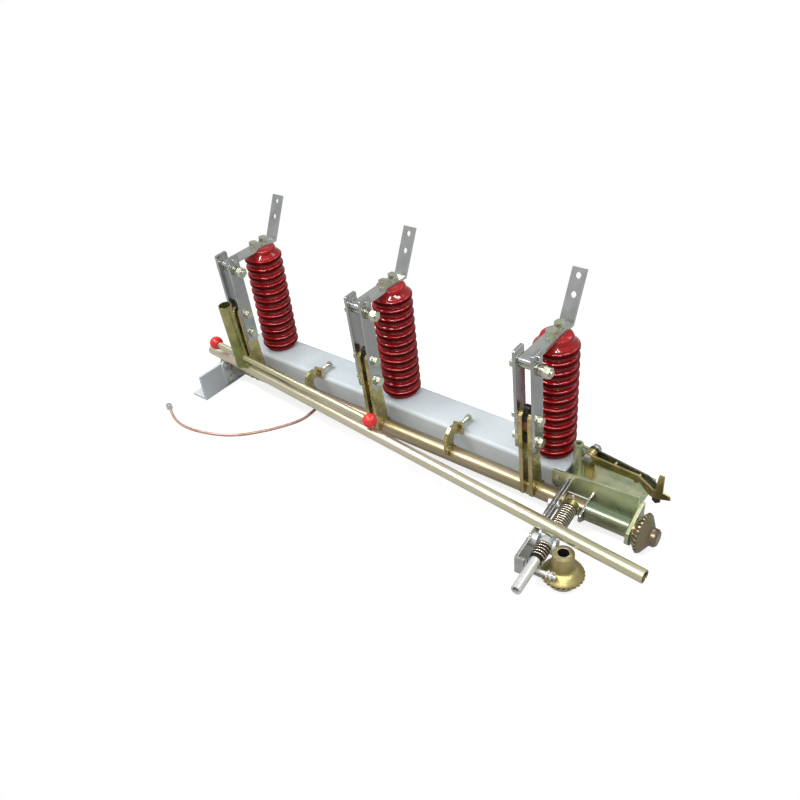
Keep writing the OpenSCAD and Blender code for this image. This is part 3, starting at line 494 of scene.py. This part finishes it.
def insulator_profile():
    """Sheds with a sloping top, an upright rim and a filleted root, as (radius, height, mark).
    The mark is 1 where the rim and the underside start; these get a darker red as painted shade."""
    step = (LAST_SHED - FIRST_SHED) / (SHEDS - 1)
    prof = [(6.0, 0.0, 0), (24.0, 0.0, 0), (24.8, 0.35, 0), (CORE_R, 1.2, 0)]
    under = [(CORE_R, -6.6), (25.2, -5.8), (25.8, -5.2), (26.9, -4.75), (28.4, -4.5), (29.7, -4.2), (30.5, -3.5),
             (30.9, -2.6), (RIM_R, -1.4)]
    top, r, h, a = [], RIM_R, 0.2, 0.0
    for a1, bend, mark in ((37, 2.3, 1), (54, 7.0, 0), (76, 2.0, 0)):
        while a < a1:
            top.append((r, h, mark))
            da = min(3.0 if bend > 3 else 6.0, a1 - a)
            t = math.radians(a + da / 2)
            r -= bend * math.radians(da) * math.sin(t)
            h += bend * math.radians(da) * math.cos(t)
            a += da
    top += [(r, h, 0), (26.3, h + 0.6, 0), (25.5, h + 1.4, 0), (25.1, h + 2.4, 0), (CORE_R, h + 3.3, 0)]
    for i in range(SHEDS):
        c = FIRST_SHED + i * step
        prof += [(r, c + h, 1) for r, h in under]
        prof += [(r, c + h, mark) for r, h, mark in top if i < SHEDS - 1 or h < CAP_START]
    prof += [(28.4, 178.6, 0), (27.0, 180.0, 0), (25.2, 181.9, 0), (23.8, 183.5, 0), (23.1, 184.3, 1),
             (23.25, 184.9, 0), (23.1, 186.2, 0), (22.5, 188.4, 0), (21.6, 190.3, 0), (20.2, 191.42, 0),
             (6.0, INSULATOR_H, 0)]
    return [(0.0, 0.0, 0)] + prof + [(0.0, INSULATOR_H, 0)]


def make_insulators():
    prof = insulator_profile()
    for i, x in enumerate(POLES):
        v, f = lathe_data([(r, h) for r, h, mark in prof], (x, INSULATOR_Y, BEAM_TOP), (0, 0, 1), INSULATOR_SEG)
        o = piece("insulator_body_%d" % (i + 1), v, f, RESIN, "base", 50)
        # Faces with mark 1 get the darker red of painted shade.
        o.data.materials.append(RIM_SHADE)
        for p in o.data.polygons:
            p.material_index = prof[p.index // INSULATOR_SEG][2]
        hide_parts("insulator_%d" % (i + 1))


# ---------------------------------------------------------------- springs and wire

COIL_STEPS = 28     # points in a turn


def coil_path(start, length, turns, r):
    """Helix round the operating shaft, from a distance start along the drive."""
    n = int(turns * COIL_STEPS)
    pts = []
    for i in range(n + 1):
        a = 2 * math.pi * turns * i / n
        pts.append(drive(r * math.cos(a), start + length * i / n, DRIVE_Z + r * math.sin(a)))
    return pts


def make_springs():
    v, f = sweep_data(coil_path(26.4, 38.2, 9.0, 10.15), 1.25, 12)
    o = piece("return_coil", v, f, SPRING, "operating_group", 60)
    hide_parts("return_spring")
    v, f = sweep_data(coil_path(100.4, 24, 5, 9.2), 1.1, 12)
    o = piece("torsion_coil", v, f, SPRING, "operating_group", 60)
    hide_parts("torsion_spring")


WIRE_PTS = [(-0.145, -0.045, 0.006), (-0.145, -0.051, 0.006), (-0.145, -0.061, 0.005), (-0.146, -0.072, 0.0035),
            (-0.148, -0.085, 0.0026), (-0.153, -0.099, 0.0026), (-0.162, -0.115, 0.0026), (-0.174, -0.133, 0.0026),
            (-0.188, -0.150, 0.0026), (-0.204, -0.167, 0.0026), (-0.224, -0.182, 0.0026), (-0.246, -0.193, 0.0026),
            (-0.270, -0.201, 0.0026), (-0.294, -0.206, 0.0026), (-0.318, -0.207, 0.0026), (-0.340, -0.203, 0.0026),
            (-0.358, -0.196, 0.0026), (-0.372, -0.189, 0.0026)]     # metres


def make_wire():
    path = smooth_path(WIRE_PTS, 5)
    v, f = sweep_data([q / MM for q in path], 2.45, 16)
    o = piece("earth_lead", v, f, WIRE, "base", 60)
    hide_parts("earth_wire")


make_insulators()
make_springs()
make_wire()


# ---------------------------------------------------------------- small parts

WELD_R, WELD_PTS, WELD_END = 13.1, 9, 158       # radius on the shaft, points and last angle of a weld


def shaft_arc(x, a0):
    """Points on the main shaft's surface from angle a0 to the end of a weld, from +y toward +z."""
    out = []
    for i in range(WELD_PTS):
        a = math.radians(a0 + (WELD_END - a0) * i / (WELD_PTS - 1))
        out.append(Vector((x, SHAFT_Y + WELD_R * math.cos(a), SHAFT_Z + WELD_R * math.sin(a))))
    return out


def bead(name, pts, r):
    """Weld bead with thin ends and small ripples along the points."""
    path = smooth_path(pts, 6)
    last = len(path) - 1
    radii = [r * (0.4 if i in (0, last) else 0.88 + 0.16 * (i % 2)) for i in range(len(path))]
    v, f = sweep_data(path, radii, 10)
    piece(name, v, f, WELD, "shaft_group", 60)


def make_welds():
    for kind, places, off, a0, r in (("arm", POLES, 11.0, 28, 1.5), ("stop", STOPS, 3.1, 60, 1.3)):
        for i, x in enumerate(places):
            for side, letter in ((-1, "a"), (1, "b")):
                bead("%s_weld_%d_%s" % (kind, i + 1, letter), shaft_arc(x + side * off, a0), r)


def thread(name, start, axis, r, length, pitch):
    """Helical thread that stands a little out of the plain rod of a bolt on the shaft group."""
    a, u, v = axes_round(axis)
    seg, rows = 24, int(length / pitch * 6)
    verts = []
    for i in range(rows + 1):
        h = length * i / rows
        for k in range(seg):
            ridge = abs(((h / pitch - k / seg) % 1.0) * 2 - 1)
            rad = r + 0.03 + 0.36 * ridge if 0 < i < rows else r + 0.02
            verts.append((Vector(start) + a * h + spoke(u, v, k, seg) * rad) * MM)
    piece(name, verts, tube_faces(rows + 1, seg), WARM, "shaft_group", 50)


def make_threads():
    stop_z = 68.5
    for i, x in enumerate(STOPS):
        thread("stop_thread_%d" % (i + 1), (x, -26.1, stop_z), (0, 1, 0), 3.0, 16.2, 1.0)
        thread("stop_tail_%d" % (i + 1), (x, -38.9, stop_z), (0, 1, 0), 3.0, 3.8, 1.0)
    for i, x in enumerate(POLES):
        thread("clamp_thread_%d" % (i + 1), arm_point(x + 32.8, 0, 212), (1, 0, 0), 4.0, 2.4, 1.25)


def make_split_pin():
    """Split pin through the front cross pin: legs below, an eye on top."""
    loop = [drive(27.6, 131 + d, 34.5 + z) for d, z in
            ((0.5, -7.5), (0.5, -4), (0.5, 3.6), (1.9, 5.4), (1.7, 7.2), (0, 8.0), (-1.7, 7.2), (-1.9, 5.4),
             (-0.5, 3.6), (-0.5, -4), (-1.9, -8.2))]
    v, f = sweep_data(smooth_path(loop, 4), 0.55, 10)
    piece("split_pin", v, f, WHITE, "base", 60)


def make_hub_bore_shade():
    """Sleeve in the hub of the second gear: painted shade in the bore, with a bright top ring of painted highlight."""
    c = drive(28.4, 105.9, 0)
    bore, low, high = 7.25, 31.0, 54.6
    v, f = lathe_data([(bore, low), (9.46, low), (9.46, high - 0.4), (9.0, high), (7.9, high), (bore, high - 0.6),
                       (bore, low)], (c.x, c.y, 0), (0, 0, 1), 64)
    o = piece("gear_bore_shade", v, f, SHADE_DARK, "second_gear", 40)
    # Painted highlight: faces that point upward get the white zinc.
    o.data.materials.append(WHITE)
    for p in o.data.polygons:
        if p.normal.z > 0.3:
            p.material_index = 1


def make_coil_shades():
    """Dark tubes on the operating shaft inside the two coils, as painted shade between the turns."""
    bore, edge = 7.03, 0.3
    for name, r, s0, s1 in (("return_coil_shade", 8.3, 25.2, 65.6), ("torsion_coil_shade", 7.8, 99.3, 126.0)):
        a, b = drive(0, s0, DRIVE_Z), drive(0, s1, DRIVE_Z)
        v, f = lathe_data([(bore, 0), (r - edge, 0), (r, edge), (r, s1 - s0 - edge), (r - edge, s1 - s0),
                           (bore, s1 - s0), (bore, 0)], a, b - a, 48)
        piece(name, v, f, SHADE_DARK, "operating_group", 40)


make_welds()
make_threads()
make_split_pin()
make_hub_bore_shade()
make_coil_shades()


# ---------------------------------------------------------------- light and floor

FLOOR_COLOUR, FLOOR_LIFT, FLOOR_GLOSS = 0.3, 0.82, 0.2
FLOOR_HALF, FLOOR_DROP = 6.0, 0.0004            # metres
FADE_START, FADE_END = 0.42, 0.75               # metres from the middle
WORLD_GLOSS = 0.35
WORLD_STOPS = [(0.0, 0.4), (0.47, 0.22), (0.58, 0.18), (0.7, 0.22), (0.82, 0.36), (1.0, 0.45)]
LAMP_AIM = Vector((0.0, 0.0, 0.1))


def math_node(tree, op, a, b):
    n = tree.nodes.new("ShaderNodeMath")
    n.operation = op
    for sock, v in ((n.inputs[0], a), (n.inputs[1], b)):
        if isinstance(v, float):
            sock.default_value = v
        else:
            tree.links.new(v, sock)
    return n.outputs[0]


def white_share(tree, glossy):
    """1 for rays from the camera and through glass, glossy for mirror rays and 0 for the rest."""
    lp = tree.nodes.new("ShaderNodeLightPath")
    seen = math_node(tree, "MAXIMUM", lp.outputs["Is Camera Ray"], lp.outputs["Is Transmission Ray"])
    mirror = math_node(tree, "MULTIPLY", lp.outputs["Is Glossy Ray"], glossy)
    return math_node(tree, "MAXIMUM", seen, mirror)


def make_floor():
    """Pale floor that keeps the object's shadow and fades to plain white farther out."""
    s = FLOOR_HALF
    me = bpy.data.meshes.new("floor")
    me.from_pydata([(-s, -s, 0), (s, -s, 0), (s, s, 0), (-s, s, 0)], [], [(0, 1, 2, 3)])
    floor = bpy.data.objects.new("floor", me)
    floor.location.z = -FLOOR_DROP
    SCENE.collection.objects.link(floor)
    mat = bpy.data.materials.new("floor_paper")
    mat.use_nodes = True
    t = mat.node_tree
    t.nodes.clear()
    new, link = t.nodes.new, t.links.new
    out = new("ShaderNodeOutputMaterial")
    seen = white_share(t, FLOOR_GLOSS)
    paper = new("ShaderNodeBsdfDiffuse")
    paper.inputs["Color"].default_value = (FLOOR_COLOUR, FLOOR_COLOUR, FLOOR_COLOUR, 1)
    lift = new("ShaderNodeEmission")
    link(math_node(t, "MULTIPLY", seen, FLOOR_LIFT), lift.inputs["Strength"])
    near = new("ShaderNodeAddShader")
    link(paper.outputs[0], near.inputs[0])
    link(lift.outputs[0], near.inputs[1])
    white = new("ShaderNodeEmission")
    white.inputs["Strength"].default_value = 1.0
    coord = new("ShaderNodeTexCoord")
    place = new("ShaderNodeMapping")
    place.inputs["Location"].default_value = (-0.05, 0.06, 0.0)
    place.inputs["Scale"].default_value = (1.0, 1.5, 1.0)
    link(coord.outputs["Object"], place.inputs["Vector"])
    reach = new("ShaderNodeVectorMath")
    reach.operation = "LENGTH"
    link(place.outputs["Vector"], reach.inputs[0])
    fade = new("ShaderNodeMapRange")
    fade.interpolation_type = "SMOOTHSTEP"
    fade.inputs["From Min"].default_value = FADE_START
    fade.inputs["From Max"].default_value = FADE_END
    link(reach.outputs["Value"], fade.inputs["Value"])
    mix = new("ShaderNodeMixShader")
    link(math_node(t, "MULTIPLY", fade.outputs["Result"], seen), mix.inputs[0])
    link(near.outputs[0], mix.inputs[1])
    link(white.outputs[0], mix.inputs[2])
    link(mix.outputs[0], out.inputs[0])
    me.materials.append(mat)


def make_world():
    """White for the camera, and in part for mirror rays. For the other rays it is a plain studio, dimmest a
    little above the horizon and brighter overhead."""
    world = bpy.data.worlds.new("studio")
    SCENE.world = world
    world.use_nodes = True
    t = world.node_tree
    t.nodes.clear()
    new, link = t.nodes.new, t.links.new
    out = new("ShaderNodeOutputWorld")
    coord = new("ShaderNodeTexCoord")
    sep = new("ShaderNodeSeparateXYZ")
    link(coord.outputs["Generated"], sep.inputs[0])
    ramp = new("ShaderNodeValToRGB")
    fill_ramp(ramp, [(p, (v, v, v)) for p, v in WORLD_STOPS])
    link(math_node(t, "ADD", math_node(t, "MULTIPLY", sep.outputs["Z"], 0.5), 0.5), ramp.inputs["Fac"])
    mix = new("ShaderNodeMix")
    mix.data_type = "RGBA"
    link(white_share(t, WORLD_GLOSS), mix.inputs[MIX_FAC])
    link(ramp.outputs["Color"], mix.inputs[MIX_A])
    mix.inputs[MIX_B].default_value = (1, 1, 1, 1)
    bg = new("ShaderNodeBackground")
    link(mix.outputs[MIX_OUT], bg.inputs["Color"])
    link(bg.outputs[0], out.inputs[0])


def strip(name, turn, reach, height, size, power):
    """Long lamp on an arc round the object, turn degrees from the front toward the left."""
    a = math.radians(-90 - turn)
    data = bpy.data.lights.new(name, "AREA")
    data.shape = "RECTANGLE"
    data.size, data.size_y = size
    data.energy = power
    o = bpy.data.objects.new(name, data)
    o.location = (reach * math.cos(a), reach * math.sin(a), height)
    o.rotation_euler = (LAMP_AIM - o.location).to_track_quat("-Z", "Y").to_euler()
    SCENE.collection.objects.link(o)


make_floor()
make_world()
strip("key", 5, 1.25, 2.3, (2.4, 0.1), 44)
strip("left", 66, 1.4, 2.2, (2.2, 0.1), 24)
strip("right", -75, 1.4, 2.0, (1.8, 0.1), 17)
strip("back", -150, 1.7, 1.8, (1.4, 0.4), 6)
SCENE.view_settings.view_transform = "Standard"
